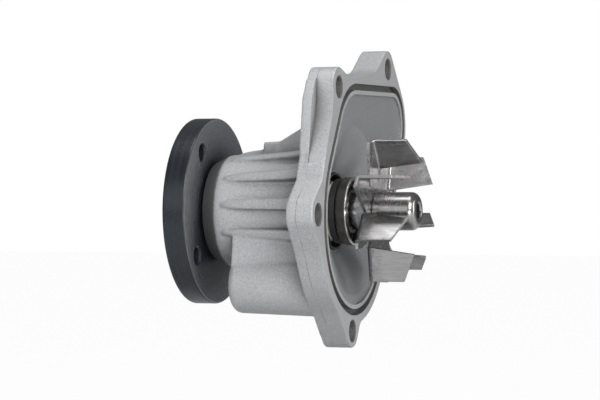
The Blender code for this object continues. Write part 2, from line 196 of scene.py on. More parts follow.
def belt(arcs, grow, steps=180):
    """The outline of a belt drawn round several circles, grown outward by a margin."""
    outline = []
    for k in range(steps):
        angle = 2 * pi * k / steps
        across, up = cos(angle), sin(angle)
        y, z, radius = max(arcs, key=lambda arc: arc[0] * across + arc[1] * up + arc[2])
        outline.append((y + (radius + grow) * across, z + (radius + grow) * up))
    return outline


def lathe(name, profile, mat, steps=STEPS, centre=(0.0, 0.0), matrix=None):
    """Turn (x, radius, fillet) points about the shaft direction into a closed solid or ring."""
    ring = profile[0][1] > 0
    build = bmesh.new()
    rows = []
    for x, radius in rounded(profile, 15.0, ring):
        turns = [2 * pi * k / steps for k in range(steps if radius > 0.001 else 1)]
        rows.append([build.verts.new((x * MM, (centre[0] + radius * cos(a)) * MM,
                                      (centre[1] + radius * sin(a)) * MM)) for a in turns])
    pairs = list(zip(rows, rows[1:]))
    if ring:
        pairs.append((rows[-1], rows[0]))
    for low, high in pairs:
        for k in range(steps):
            j = (k + 1) % steps
            corners = (low[k % len(low)], low[j % len(low)], high[j % len(high)], high[k % len(high)])
            corners = list(dict.fromkeys(corners))
            if len(corners) > 2:
                build.faces.new(corners)
    if matrix:
        build.transform(matrix)
    return object_from(name, build, mat)


def prism(name, outline, low, high, mat, matrix=ALONG_X, rim=0.0):
    """Extrude an outline along the matrix's third axis; rim is the bevel on its two edges."""
    build = bmesh.new()
    bottom = [build.verts.new((a * MM, b * MM, low * MM)) for a, b in outline]
    top = [build.verts.new((a * MM, b * MM, high * MM)) for a, b in outline]
    caps = [build.faces.new(bottom[::-1]), build.faces.new(top)]
    for i in range(len(outline)):
        j = (i + 1) % len(outline)
        build.faces.new((bottom[i], bottom[j], top[j], top[i]))
    if rim:
        edges = {edge for cap in caps for edge in cap.edges}
        bmesh.ops.bevel(build, geom=list(edges), offset=rim * MM, segments=2, profile=0.5,
                        affect="EDGES", clamp_overlap=True)
    build.transform(matrix)
    return object_from(name, build, mat)


def loft(name, sections, mat, matrix=None):
    """Skin a closed solid over sections, which are equal-length lists of (x, y, z)."""
    build = bmesh.new()
    rows = [[build.verts.new(Vector(p) * MM) for p in section] for section in sections]
    for low, high in zip(rows, rows[1:]):
        for i in range(len(low)):
            j = (i + 1) % len(low)
            build.faces.new((low[i], low[j], high[j], high[i]))
    build.faces.new(rows[0][::-1])
    build.faces.new(rows[-1])
    if matrix:
        build.transform(matrix)
    return object_from(name, build, mat)


def settle(obj):
    """Replace an object's mesh with its evaluated mesh and drop the modifiers."""
    graph = bpy.context.evaluated_depsgraph_get()
    mesh = bpy.data.meshes.new_from_object(obj.evaluated_get(graph), depsgraph=graph)
    obj.modifiers.clear()
    obj.data = mesh
    return obj


def merged(name, objects):
    """Several objects as one mesh, with the first one's material."""
    build = bmesh.new()
    for obj in objects:
        build.from_mesh(obj.data)
    mat = objects[0].data.materials[0]
    for obj in objects:
        bpy.data.objects.remove(obj)
    return object_from(name, build, mat)


def boolean(target, others, operation):
    """Apply Booleans one after another; cut faces take the cutter's material."""
    for other in others:
        modifier = target.modifiers.new(other.name, "BOOLEAN")
        modifier.operation = operation
        modifier.object = other
        modifier.solver = "MANIFOLD"
        modifier.material_mode = "TRANSFER"
    settle(target)
    for other in others:
        bpy.data.objects.remove(other)
    return target


def crisp(obj, degrees=32.0):
    """Smooth shading that keeps edges sharper than an angle."""
    obj.data.shade_smooth()
    obj.data.set_sharp_from_angle(angle=radians(degrees))
    even = obj.modifiers.new("flat_faces_stay_flat", "WEIGHTED_NORMAL")
    even.keep_sharp = True
    return settle(obj)


def piece(obj, body, slot, *nodes):
    """Hand a finished piece to the frame: its body and the nodes it stands for. The slot, for its
    finish, is not used.
    """
    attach(obj, body)
    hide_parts(*nodes)
    return obj


# ---------------------------------------------------------------- materials

def opaque(colour):
    """A plain colour with its alpha; a socket passes through."""
    return (*colour, 1.0) if isinstance(colour, tuple) else colour


class Graph:
    """Short names for the shader nodes of one material."""

    def __init__(self, name):
        self.material = bpy.data.materials.new(name)
        self.material.use_nodes = True
        self.tree = self.material.node_tree
        self.shader = self.tree.nodes["Principled BSDF"]
        self.place = self.tree.nodes.new("ShaderNodeTexCoord").outputs["Object"]

    def feed(self, socket, value):
        if isinstance(value, bpy.types.NodeSocket):
            self.tree.links.new(value, socket)
        else:
            socket.default_value = value

    def node(self, kind, inputs, **settings):
        made = self.tree.nodes.new(kind)
        for key, value in settings.items():
            setattr(made, key, value)
        for key, value in inputs.items():
            self.feed(made.inputs[key], value)
        return made

    def math(self, operation, a, b=0.0, clamp=False):
        made = self.node("ShaderNodeMath", {0: a, 1: b}, operation=operation, use_clamp=clamp)
        return made.outputs[0]

    def noise(self, scale, detail=2.0, rough=0.5, vector=None, distortion=0.0):
        inputs = {"Vector": vector or self.place, "Scale": scale, "Detail": detail,
                  "Roughness": rough, "Distortion": distortion}
        return self.node("ShaderNodeTexNoise", inputs).outputs["Fac"]

    def spots(self, scale, size, jitter=1.0):
        """1 inside small round spots, falling to 0 around them."""
        cells = self.node("ShaderNodeTexVoronoi", {"Vector": self.place, "Scale": scale,
                                                   "Randomness": jitter})
        return self.fit(cells.outputs["Distance"], 0.0, size, 1.0, 0.0)

    def fit(self, value, low, high, out_low=0.0, out_high=1.0):
        made = self.node("ShaderNodeMapRange", {"Value": value, "From Min": low, "From Max": high,
                                                "To Min": out_low, "To Max": out_high})
        return made.outputs[0]

    def mix(self, factor, a, b, blend="MIX"):
        made = self.tree.nodes.new("ShaderNodeMix")
        made.data_type = "RGBA"
        made.blend_type = blend
        self.feed(made.inputs["Factor"], factor)
        self.feed(made.inputs["A"], opaque(a))
        self.feed(made.inputs["B"], opaque(b))
        return made.outputs["Result"]

    def shelter(self, reach):
        """Openness of the surface: 1 out in the open, towards 0 deep in a corner."""
        made = self.node("ShaderNodeAmbientOcclusion", {"Distance": reach}, samples=8)
        return made.outputs["AO"]

    def axes(self):
        split = self.node("ShaderNodeSeparateXYZ", {0: self.place})
        return split.outputs

    def facing(self):
        """How far the surface looks along the shaft, from 0 to 1."""
        normal = self.node("ShaderNodeNewGeometry", {}).outputs["Normal"]
        turned = self.node("ShaderNodeVectorTransform", {0: normal}, vector_type="NORMAL",
                           convert_from="WORLD", convert_to="OBJECT")
        split = self.node("ShaderNodeSeparateXYZ", {0: turned.outputs[0]})
        return self.math("ABSOLUTE", split.outputs[0])

    def turned_place(self, stretch=0.0):
        """(distance from the axis, x, a little of the angle): constant along a lathe mark."""
        x, y, z = self.axes()
        far = self.math("SQRT", self.math("ADD", self.math("MULTIPLY", y, y),
                                          self.math("MULTIPLY", z, z)))
        angle = self.math("MULTIPLY", self.math("ARCTAN2", z, y), stretch)
        return self.node("ShaderNodeCombineXYZ", {0: far, 1: x, 2: angle}).outputs[0]

    def bumps(self, *layers):
        """Stack (height, distance in metres, strength) layers into one normal."""
        normal = None
        for height, distance, strength in layers:
            inputs = {"Height": height, "Distance": distance, "Strength": strength}
            if normal:
                inputs["Normal"] = normal
            normal = self.node("ShaderNodeBump", inputs).outputs[0]
        self.feed(self.shader.inputs["Normal"], normal)

    def surface(self, colour, roughness, metallic):
        self.feed(self.shader.inputs["Base Color"], opaque(colour))
        self.feed(self.shader.inputs["Roughness"], roughness)
        self.feed(self.shader.inputs["Metallic"], metallic)
        return self.material


def cast_aluminium():
    """Blasted die casting: painted glints, mottling, pores, a parting line, painted shade in the
    corners and painted shade on the boss end by the flange.
    """
    g = Graph("cast_aluminium_skin")
    grain = g.noise(1300.0, 3.0, 0.75)
    mottle = g.noise(260.0, 4.0, 0.65)
    cloud = g.noise(38.0, 3.0, 0.5)
    colour = g.mix(g.fit(grain, 0.3, 0.7), (0.29, 0.298, 0.31), (0.53, 0.54, 0.555))
    colour = g.mix(g.fit(mottle, 0.35, 0.7, 0.0, 0.35), colour, (0.40, 0.39, 0.375))
    colour = g.mix(g.fit(cloud, 0.4, 0.75, 0.0, 0.3), colour, (0.56, 0.57, 0.58))
    # Painted glints: small bright spots mixed into the colour.
    glints = g.math("MULTIPLY", g.spots(1100.0, 0.16), g.fit(g.noise(700.0), 0.55, 0.62))
    colour = g.mix(g.math("MULTIPLY", glints, 0.8, True), colour, (0.85, 0.85, 0.85))
    pores = g.math("MULTIPLY", g.spots(420.0, 0.13), g.fit(g.noise(160.0), 0.60, 0.66))
    x = g.axes()[0]
    wander = g.math("MULTIPLY", g.math("SUBTRACT", g.noise(120.0), 0.5), 0.0009)
    seam = g.math("ABSOLUTE", g.math("ADD", g.math("ADD", x, -SHELF_X * MM), wander))
    edgewise = g.fit(g.facing(), 0.3, 0.6, 1.0, 0.0)
    seam = g.math("MULTIPLY", g.fit(seam, 0.00004, 0.00022, 1.0, 0.0), edgewise)
    seam = g.math("MULTIPLY", seam, g.fit(g.noise(75.0, 2.0), 0.42, 0.56))
    dark = g.math("MAXIMUM", g.math("MULTIPLY", pores, 0.75), g.math("MULTIPLY", seam, 0.6), True)
    # Painted shade: the colour darkens in corners and hollows, where shade falls.
    corner_shade = g.math("MULTIPLY", g.fit(g.shelter(0.012), 0.45, 0.97, 1.0, 0.0), 0.9)
    colour = g.mix(corner_shade, colour, (0.095, 0.094, 0.085))
    # Painted shade and a painted reflection of the black flange darken the boss end next to it.
    end = g.math("ADD", x, g.math("MULTIPLY", g.math("SUBTRACT", g.noise(500.0), 0.5), 0.0012))
    end = g.fit(end, FLANGE_SHADE_SPAN[0] * MM, FLANGE_SHADE_SPAN[1] * MM, 0.8, 0.0)
    colour = g.mix(end, colour, (0.08, 0.08, 0.083))
    colour = g.mix(dark, colour, (0.10, 0.098, 0.092))
    g.bumps((grain, 0.00006, 0.7), (mottle, 0.00012, 0.5), (dark, -0.00015, 0.8))
    return g.surface(colour, g.fit(grain, 0.3, 0.7, 0.5, 0.68), 0.45)


def machined_aluminium():
    """Milled face: overlapping cutter arcs, a few fine scratches."""
    g = Graph("machined_aluminium_face")
    x, y, z = g.axes()
    across, up = g.math("ADD", y, 0.16), g.math("ADD", z, 0.11)
    far = g.node("ShaderNodeCombineXYZ", {0: across, 1: up, 2: 0.0}).outputs[0]
    length = g.node("ShaderNodeVectorMath", {0: far}, operation="LENGTH").outputs["Value"]
    arc = g.node("ShaderNodeCombineXYZ", {0: length, 1: x, 2: 0.0}).outputs[0]
    lines = g.noise(2600.0, 2.0, 0.6, arc)
    wide = g.noise(330.0, 2.0, 0.5, arc)
    grain = g.noise(900.0, 3.0, 0.6)
    colour = g.mix(g.fit(lines, 0.3, 0.7), (0.40, 0.405, 0.41), (0.50, 0.505, 0.51))
    colour = g.mix(g.fit(wide, 0.35, 0.7, 0.0, 0.25), colour, (0.36, 0.362, 0.365))
    colour = g.mix(g.fit(grain, 0.55, 0.75, 0.0, 0.3), colour, (0.33, 0.33, 0.33))
    g.bumps((lines, 0.00002, 0.6), (wide, 0.00004, 0.3))
    return g.surface(colour, g.fit(lines, 0.3, 0.7, 0.42, 0.55), 0.6)


def chamber_aluminium():
    """Turned and washed chamber floor, smoother and darker than the blasted skin."""
    g = Graph("chamber_aluminium")
    lines = g.noise(1500.0, 2.0, 0.6, g.turned_place())
    grain = g.noise(1300.0, 3.0, 0.6)
    cloud = g.noise(45.0, 3.0, 0.6)
    colour = g.mix(g.fit(grain, 0.3, 0.7), (0.22, 0.23, 0.236), (0.32, 0.33, 0.336))
    colour = g.mix(g.fit(cloud, 0.4, 0.7, 0.0, 0.4), colour, (0.25, 0.258, 0.264))
    g.bumps((lines, 0.00001, 0.4), (grain, 0.00003, 0.4))
    return g.surface(colour, g.fit(grain, 0.3, 0.7, 0.42, 0.56), 0.6)


def turned_metal(name, light, dark, roughness, metallic, depth=0.00002, face=None):
    """Lathe-turned or ground metal with rings that follow the shaft axis.

    A face colour for the flat faces is painted light, and gives way to the dark one near a corner as
    painted shade.
    """
    g = Graph(name)
    lines = g.noise(2400.0, 2.0, 0.65, g.turned_place(0.0004))
    bands = g.noise(300.0, 2.0, 0.5, g.turned_place(0.001))
    smudge = g.noise(90.0, 4.0, 0.6, distortion=0.6)
    colour = g.mix(g.fit(lines, 0.3, 0.7), dark, light)
    colour = g.mix(g.fit(smudge, 0.45, 0.75, 0.0, 0.5), colour, dark)
    if face:
        # Painted light on the flat faces, turning to painted shade near a corner.
        face_light_and_shade = g.mix(g.fit(g.shelter(0.03), 0.5, 0.8), dark, face)
        colour = g.mix(g.fit(g.facing(), 0.6, 0.95), colour, face_light_and_shade)
    rough = g.math("ADD", g.fit(lines, 0.3, 0.7, roughness * 0.85, roughness * 1.2),
                   g.fit(smudge, 0.4, 0.7, 0.0, 0.08))
    g.bumps((lines, depth, 0.6), (bands, depth * 2, 0.4))
    return g.surface(colour, rough, metallic)


def stainless_sheet():
    """Rolled sheet: streaky grain, slow waves from the press, darker tumbling marks."""
    g = Graph("stainless_sheet_pressed")
    squash = g.node("ShaderNodeMapping", {"Vector": g.place, "Scale": (0.12, 1.0, 1.0)}).outputs[0]
    streaks = g.noise(900.0, 3.0, 0.6, squash)
    waves = g.noise(48.0, 2.0, 0.5, distortion=1.5)
    tumble = g.noise(260.0, 3.0, 0.7)
    colour = g.mix(g.fit(streaks, 0.3, 0.7), (0.30, 0.297, 0.295), (0.42, 0.416, 0.414))
    colour = g.mix(g.fit(waves, 0.42, 0.62, 0.0, 0.55), colour, (0.29, 0.28, 0.275))
    colour = g.mix(g.fit(tumble, 0.6, 0.7, 0.0, 0.3), colour, (0.6, 0.6, 0.6))
    rough = g.math("ADD", g.fit(streaks, 0.3, 0.7, 0.2, 0.27), g.fit(waves, 0.4, 0.7, 0.0, 0.1))
    g.bumps((waves, 0.0007, 0.3))
    return g.surface(colour, rough, 1.0)


def grainy(name, light, dark, scale, roughness, metallic=0.0, depth=0.00005):
    """Moulded or pressed stuff with an even fine grain and faint blotches."""
    g = Graph(name)
    grain = g.noise(scale, 3.0, 0.6)
    blotch = g.noise(scale / 9, 3.0, 0.5)
    colour = g.mix(g.fit(grain, 0.3, 0.7), dark, light)
    colour = g.mix(g.fit(blotch, 0.4, 0.7, 0.0, 0.4), colour, dark)
    g.bumps((grain, depth, 0.6))
    return g.surface(colour, g.fit(grain, 0.3, 0.7, roughness * 0.85, roughness * 1.15), metallic)


CAST = cast_aluminium()
MILLED = machined_aluminium()
FLOOR_OF_CHAMBER = chamber_aluminium()
SHADED = grainy("shaded_aluminium", (0.16, 0.16, 0.155), (0.10, 0.10, 0.095), 1200.0, 0.6, 0.4)
# The flat faces get a lighter face colour as painted light, with painted shade near the hub.
BLACK_STEEL = turned_metal("black_steel_turned", (0.02, 0.025, 0.032), (0.009, 0.011, 0.015),
                           0.27, 0.2, 0.000001, face=(0.15, 0.157, 0.168))
GROUND = turned_metal("ground_steel_rings", (0.6, 0.6, 0.61), (0.42, 0.42, 0.43),
                      0.2, 1.0, 0.000004)
HUB_STEEL = turned_metal("stainless_turned", (0.38, 0.375, 0.37), (0.26, 0.255, 0.25),
                         0.2, 1.0, 0.000005)
# Darker copy of the stainless for the seal cup: painted shade.
CUP_SHADE_STEEL = turned_metal("stainless_cup_painted_shade", (0.17, 0.155, 0.145), (0.11, 0.10, 0.092),
                         0.24, 0.9, 0.000002)
# Brighter copy of the stainless for the cup's lip: a painted highlight along its edge.
LIP_HIGHLIGHT = turned_metal("stainless_lip_painted_highlight", (0.8, 0.79, 0.77), (0.66, 0.65, 0.63),
                        0.16, 1.0, 0.000002)
SHEET_STEEL = stainless_sheet()
RUBBER = grainy("black_rubber_moulded", (0.028, 0.028, 0.029), (0.012, 0.012, 0.012), 1400.0, 0.6)
CARBON = grainy("carbon_face", (0.06, 0.06, 0.065), (0.03, 0.03, 0.032), 2600.0, 0.4)
CERAMIC = grainy("ceramic_face", (0.8, 0.77, 0.7), (0.68, 0.65, 0.58), 1800.0, 0.35, 0.0, 0.00002)
CAGE = grainy("cage_polyamide", (0.34, 0.21, 0.1), (0.22, 0.13, 0.06), 900.0, 0.5)
# Near black: painted shade inside the centre hole and the centre drilling.
HOLE_SHADE = grainy("steel_painted_hole_shade", (0.02, 0.019, 0.018), (0.01, 0.0095, 0.009), 1500.0, 0.5, 0.3)
SEAL_STEEL = turned_metal("seal_case_steel", (0.09, 0.085, 0.08), (0.04, 0.038, 0.036), 0.35, 0.7)


# ---------------------------------------------------------------- housing

def plate_outline():
    """Outline of the mounting plate, anticlockwise from the far lower lug."""
    rim = CHAMBER[0][2] + RIDGE + GROOVE + 3.5
    corner = CHAMBER[2][2] + RIDGE + GROOVE + 3.5
    return rounded([
        (50.0, -34.4, LUG_R), (56.9, -19.5, LUG_R), (44.2, -13.6, 5.0), (77.6, 40.2, corner),
        (46.8, 72.9, LUG_R), (27.0, 60.2, 16.0), (-8.0, 56.0, 20.0), (-31.3, 62.7, LUG_R),
        (-31.2, 42.0, 18.0), (-40.2, 24.5, 24.0), (-45.2, 12.8, 6.0), (-61.2, 0.6, 7.8),
        (-47.0, -17.0, 10.0), (-36.1, -33.6, rim), (-24.5, -42.3, 12.0), (-4.0, -62.2, LUG_R),
        (5.5, -47.3, 5.0), (23.4, -43.4, rim), (36.6, -28.2, 4.0),
    ])


def rib(index, angle):
    """Slender leaf-shaped rib: pointed towards the flange, wide and tall at the plate."""
    stations = [(-54.0, 0.4, 23.7), (-51.5, 1.2, 24.9), (-47.0, 1.8, 25.8), (-40.0, 2.1, 26.6),
                (-24.0, 2.35, 28.1), (-16.0, 2.5, 29.6), (RIB_ROOT, 2.7, 31.0)]
    foot = 20.0
    sections = [[(x, -w * 1.1, foot), (x, w * 1.1, foot), (x, w, top - 0.5), (x, w * 0.45, top),
                 (x, -w * 0.45, top), (x, -w, top - 0.5)] for x, w, top in stations]
    return loft(f"rib_{index}", sections, CAST, Matrix.Rotation(radians(angle), 4, "X"))


def upright_loft(name, stations):
    """Fin on top of the boss from (x, top half width, bottom half width, top) stations."""
    foot = 18.0
    sections = [[(x, -low, foot), (x, low, foot), (x, w, top - 0.6), (x, w * 0.8, top),
                 (x, -w * 0.8, top), (x, -w, top - 0.6)] for x, w, low, top in stations]
    return loft(name, sections, CAST)


def cast_solids():
    """The overlapping solids whose union is the raw casting."""
    solids = [prism("plate", plate_outline(), PLATE_BACK, STOCK, CAST)]
    solids.append(prism("shelf", rounded(SHELF), PLATE_BACK, STOCK, CAST))
    boss = [(BOSS_ROOT, 0.0), (BOSS_ROOT, 30.5), (PLATE_BACK, 30.5), (-13.4, 27.2, 2.0),
            (-18.0, 25.4, 6.0), (-24.0, 24.8, 8.0), (-55.6, BOSS_R, 3.0), (BOSS_END, 21.2),
            (BOSS_END - 2.0, 20.4), (BOSS_END - 2.0, 0.0)]
    solids.append(lathe("boss", boss, CAST))
    end, r = LOWER_BOSS_END, LOWER_BOSS_R
    lower = [(BOSS_ROOT, 0.0), (BOSS_ROOT, r + 1.2), (end, r, 3.6), (end, 0.0)]
    solids.append(lathe("lower_boss", lower, CAST, centre=LOWER_BOSS))
    web = [(-24.0, -11.0), (-26.0, -25.0), (-17.0, -34.0), (-4.0, -30.0), (0.0, -10.0)]
    solids.append(prism("lower_web", web, end + 0.8, RIB_ROOT, CAST))
    fin = [(-48.0, 3.0, 8.0, 23.2), (-40.8, 3.6, 8.5, 26.7), (-34.0, 4.2, 9.0, 29.4),
           (-24.3, 4.8, 10.0, 34.9), (RIB_ROOT, 5.6, 12.0, 42.4)]
    solids.append(upright_loft("fin", fin))
    pad = [(-40.4, 4.6, 6.0, 29.5), (-33.6, 4.6, 6.0, 29.8)]
    solids.append(upright_loft("vent_pad", pad))
    mark = [(-39.6, 26.5), (-42.9, 19.0), (-42.3, 18.6), (-38.8, 26.0)]
    solids.append(prism("gate_mark", mark, -7.9, -6.3, CAST))
    solids += [rib(i, angle) for i, angle in enumerate(RIB_ANGLES)]
    return solids


def machining():
    """Everything cut from the raw casting: face, chamber, groove, bores and holes."""
    wide = [(-90.0, -90.0), (100.0, -90.0), (100.0, 100.0), (-90.0, 100.0)]
    cuts = [prism("face", wide, 0.0, 10.0, MILLED)]
    beside_shelf = [(-48.0, 20.0), (-30.0, 20.0), (-22.0, 64.0), (-48.0, 64.0)]
    relief = prism("relief", beside_shelf, SHELF_X, 2.0, CAST)
    kept = prism("relief_kept", plate_outline(), SHELF_X - 1.0, 3.0, CAST)
    cuts.append(boolean(relief, [kept], "DIFFERENCE"))
    cuts.append(prism("chamber", belt(CHAMBER, 0.0), -CHAMBER_DEPTH, 2.0, FLOOR_OF_CHAMBER))
    right, left = SEAL_BORE_X[1], SEAL_BORE_X[0]
    dish = [(1.0, 0.0), (1.0, 37.0), (-0.8, 37.0), (-1.6, 35.0, 12.0), (-4.2, 28.0, 22.0),
            (-7.6, 21.0, 9.0), (-9.4, SEAL_BORE_R + 1.2), (right, SEAL_BORE_R + 0.7), (right, 0.0)]
    cuts.append(lathe("dish", dish, FLOOR_OF_CHAMBER, WIDE_STEPS))
    groove = prism("groove", belt(CHAMBER, RIDGE + GROOVE), -GROOVE_DEPTH, 1.0, SHADED)
    island = prism("groove_island", belt(CHAMBER, RIDGE), -GROOVE_DEPTH - 1.0, 2.0, SHADED)
    cuts.append(boolean(groove, [island], "DIFFERENCE"))
    step = BEARING_X[1] + 0.3
    bore = [(right + 1.0, 0.0), (right + 1.0, SEAL_BORE_R), (left, SEAL_BORE_R), (step, SEAL_STEP_R),
            (step, BEARING_BORE_R), (BOSS_END + 0.8, BEARING_BORE_R),
            (BOSS_END - 0.4, BEARING_BORE_R + 1.2), (BOSS_END - 3.0, BEARING_BORE_R + 1.2),
            (BOSS_END - 3.0, 0.0)]
    cuts.append(lathe("bore", bore, MILLED))
    rim = [(BOSS_END, 10.0), (BOSS_END, 40.0), (BOSS_END - 6.0, 40.0), (BOSS_END - 6.0, 10.0)]
    cuts.append(lathe("boss_face", rim, MILLED))
    for name, centre in LUGS.items():
        r = LUG_HOLE_R
        hole = [(2.0, 0.0), (2.0, r + 2.4), (-0.4, r), (-16.0, r), (-16.0, 0.0)]
        cuts.append(lathe("hole_" + name, hole, SHADED, HOLE_STEPS, centre))
    for name, angle in DRAINS:
        across = Matrix.Rotation(radians(angle - 90), 4, "X") @ Matrix.Rotation(-pi / 2, 4, "Y")
        place = Matrix.Translation((DRAIN_X * MM, 0.0, 0.0)) @ across
        hole = [(34.0, 0.0), (34.0, DRAIN_R), (12.0, DRAIN_R), (12.0, 0.0)]
        cuts.append(lathe(name, hole, MILLED, 48, matrix=place))
    return cuts


def housing():
    body = merged("housing_casting", cast_solids())
    remesh = body.modifiers.new("skin", "REMESH")
    remesh.mode = "VOXEL"
    remesh.voxel_size = VOXEL * MM
    smooth = body.modifiers.new("cast_radii", "SMOOTH")
    smooth.factor = 0.5
    smooth.iterations = CAST_SMOOTHING
    settle(body)
    boolean(body, machining(), "DIFFERENCE")
    return piece(crisp(body), "housing_body", "cast_aluminium", "housing")


# ---------------------------------------------------------------- rotor

def pulley_flange():
    low, high = FLANGE_X
    r = FLANGE_R
    bore = SHAFT_R + 0.05
    profile = [(FLANGE_HUB_X, bore + 0.8), (FLANGE_HUB_X, FLANGE_HUB_R, 0.8),
               (high, FLANGE_HUB_R, 1.6), (high, r, 0.8), (low, r, 1.0), (low, bore + 0.9),
               (low + 0.9, bore), (FLANGE_HUB_X - 0.8, bore)]
    body = lathe("pulley_flange_disc", profile, BLACK_STEEL, WIDE_STEPS)
    holes = []
    for i, angle in enumerate(FLANGE_BOLT_ANGLES):
        hole = [(high + 1.0, 0.0), (high + 1.0, FLANGE_HOLE_R + 1.8), (high - 0.8, FLANGE_HOLE_R),
                (low + 0.8, FLANGE_HOLE_R), (low - 1.0, FLANGE_HOLE_R + 1.8), (low - 1.0, 0.0)]
        centre = polar(FLANGE_BOLT_R, angle)
        holes.append(lathe(f"bolt_hole_{i}", hole, BLACK_STEEL, HOLE_STEPS, centre))
    boolean(body, holes, "DIFFERENCE")
    return piece(crisp(body), "rotor", "black_steel", "pulley_flange")


def blade(index, outer, inner):
    """One blade: a short strip of the arm, the fold, then the flat leaning plate."""
    along = (inner - outer).normalized()
    side = Vector((-along.y, along.x))
    span = (inner - outer).length
    middle = BEND_R + SHEET / 2
    centre_s, centre_x = SHEET / 2 - middle, WEB_X + middle
    strip, stride = 1.6, 0.4
    path = [(centre_s - strip + stride * k, WEB_X, 0.0) for k in range(4)]
    for k in range(7):
        turn = radians(15 * k)
        path.append((centre_s + middle * sin(turn), centre_x - middle * cos(turn), 0.0))
    top_steps = 8
    path += [(SHEET / 2, None, (k + 1) / top_steps) for k in range(top_steps)]
    columns = 10
    build = bmesh.new()
    rows = []
    for s, x, share in path:
        row = []
        for k in range(columns + 1):
            v = k / columns
            reach = v * span * (1.0 - (1.0 - BLADE_LEAN) * share)
            top = BLADE_OUT_X + (BLADE_IN_X - BLADE_OUT_X) * v
            height = x if x is not None else centre_x + share * (top - centre_x)
            point = outer + along * reach + side * s
            row.append(build.verts.new((height * MM, point.x * MM, point.y * MM)))
        rows.append(row)
    for low, high in zip(rows, rows[1:]):
        for k in range(columns):
            build.faces.new((low[k], low[k + 1], high[k + 1], high[k]))
    obj = object_from(f"blade_{index}", build, SHEET_STEEL)
    shell = obj.modifiers.new("sheet", "SOLIDIFY")
    shell.thickness = SHEET * MM
    shell.offset = 0.0
    soft = obj.modifiers.new("edge", "BEVEL")
    soft.width = 0.16 * MM
    soft.segments = 2
    soft.limit_method = "ANGLE"
    soft.angle_limit = radians(50)
    return settle(obj)


def impeller():
    """Pressed web with seven arms, each folded forward into a blade."""
    half = SHEET / 2
    bore = SHAFT_NOSE_R + 0.1
    disc = [(WEB_X + half, bore), (WEB_X + half, NOTCH_R, 0.15), (WEB_X - half, NOTCH_R, 0.15),
            (WEB_X - half, bore)]
    body = lathe("impeller_pressing", disc, SHEET_STEEL)
    arm_x = (WEB_X - half + 0.01, WEB_X + half - 0.01)
    added = []
    for i in range(BLADES):
        angle = BLADE_ANGLE + 360 * i / BLADES
        outer = Vector(polar(BLADE_OUT_R, angle))
        inner = Vector(polar(BLADE_IN_R, angle - BLADE_SWEEP))
        along = (inner - outer).normalized()
        back = Vector((along.y, -along.x)) * 1.0
        arm = [polar(10.0, angle), polar(10.0, angle - 14), polar(12.9, angle - 19.0),
               tuple(inner + back), tuple(outer + back),
               polar(BLADE_OUT_R + 0.7, angle + 8) + (1.2,),
               polar(14.6, angle + 29) + (0.8,), polar(10.0, angle + 25)]
        added.append(prism(f"arm_{i}", rounded(arm), *arm_x, SHEET_STEEL, rim=0.12))
        added.append(blade(i, outer, inner))
    boolean(body, added, "UNION")
    return piece(crisp(body, 28.0), "rotor", "stainless_sheet", "impeller")


def impeller_hub():
    start = WEB_X + SHEET / 2 + 0.05
    bore = SHAFT_NOSE_R + 0.1
    hole = CENTRE_R + 0.3
    inside = HUB_END - 3.0
    profile = [(HUB_END - 0.7, hole - 0.4), (HUB_END - 0.7, hole), (HUB_END, hole + 0.6, 0.4),
               (HUB_END, HUB_R, NOSE_FILLET), (start, HUB_R, 0.5), (start, bore), (inside, bore),
               (inside, hole - 0.4)]
    body = lathe("impeller_hub_nose", profile, HUB_STEEL)
    opening = [(HUB_END, 0.0), (HUB_END, hole), (HUB_END - 4.0, hole), (HUB_END - 4.0, 0.0)]
    boolean(body, [lathe("opening", opening, HOLE_SHADE, HOLE_STEPS)], "DIFFERENCE")
    return piece(crisp(body), "rotor", "stainless_sheet", "impeller_hub")


def pump_shaft():
    shoulder = WEB_X - SHEET / 2 - 0.1
    end = HUB_END - 3.4
    low = FLANGE_X[0] + 0.4
    profile = [(end, 0.0), (end, SHAFT_NOSE_R, 0.6), (shoulder, SHAFT_NOSE_R),
               (shoulder, SHAFT_R, 0.5)]
    half = 2.4
    for x in BALL_ROWS:
        profile += [(x + half, SHAFT_R), (x + half / 2, SHAFT_R - 0.42), (x, SHAFT_R - 0.56),
                    (x - half / 2, SHAFT_R - 0.42), (x - half, SHAFT_R)]
    profile += [(low, SHAFT_R, 0.8), (low, 3.0), (low + 2.2, 0.0)]
    body = lathe("pump_shaft_ground", profile, GROUND)
    deep = end - CENTRE_DEPTH
    drilling = [(end + 1.0, 0.0), (end + 1.0, CENTRE_R), (deep, CENTRE_R), (deep - 1.8, 0.0)]
    boolean(body, [lathe("centre_drilling", drilling, HOLE_SHADE, HOLE_STEPS)], "DIFFERENCE")
    return piece(crisp(body), "rotor", "ground_steel", "pump_shaft")


def seal_rotor_cup():
    """Drawn cup in painted shade, with a lip that carries a painted highlight, which is let into a
    seat at its open end.
    """
    profile = [(-0.3, 13.3, 0.25), (-0.3, 14.4, 0.4), (-5.4, 14.4, 0.9), (-5.4, SHAFT_R + 0.1),
               (-1.6, SHAFT_R + 0.1, 0.2), (-1.6, SHAFT_R + 1.2, 0.2), (-4.5, SHAFT_R + 1.2),
               (-4.5, 13.3, 0.6)]
    body = lathe("seal_rotor_cup_drawn", profile, CUP_SHADE_STEEL)
    lip = [(-0.3, 13.3, 0.3), (-0.3, 14.4, 0.4), (-1.1, 14.4, 0.1), (-1.1, 13.3, 0.1)]
    # The lip takes the brighter stainless, a painted highlight.
    lip_highlight = lathe("lip", lip, LIP_HIGHLIGHT)
    seat = [(1.0, 13.0), (1.0, 15.0), (-1.0, 15.0), (-1.0, 13.0)]
    boolean(body, [lathe("lip_seat", seat, CUP_SHADE_STEEL)], "DIFFERENCE")
    boolean(body, [lip_highlight], "UNION")
    return piece(crisp(body), "rotor", "stainless_sheet", "seal_rotor_cup")


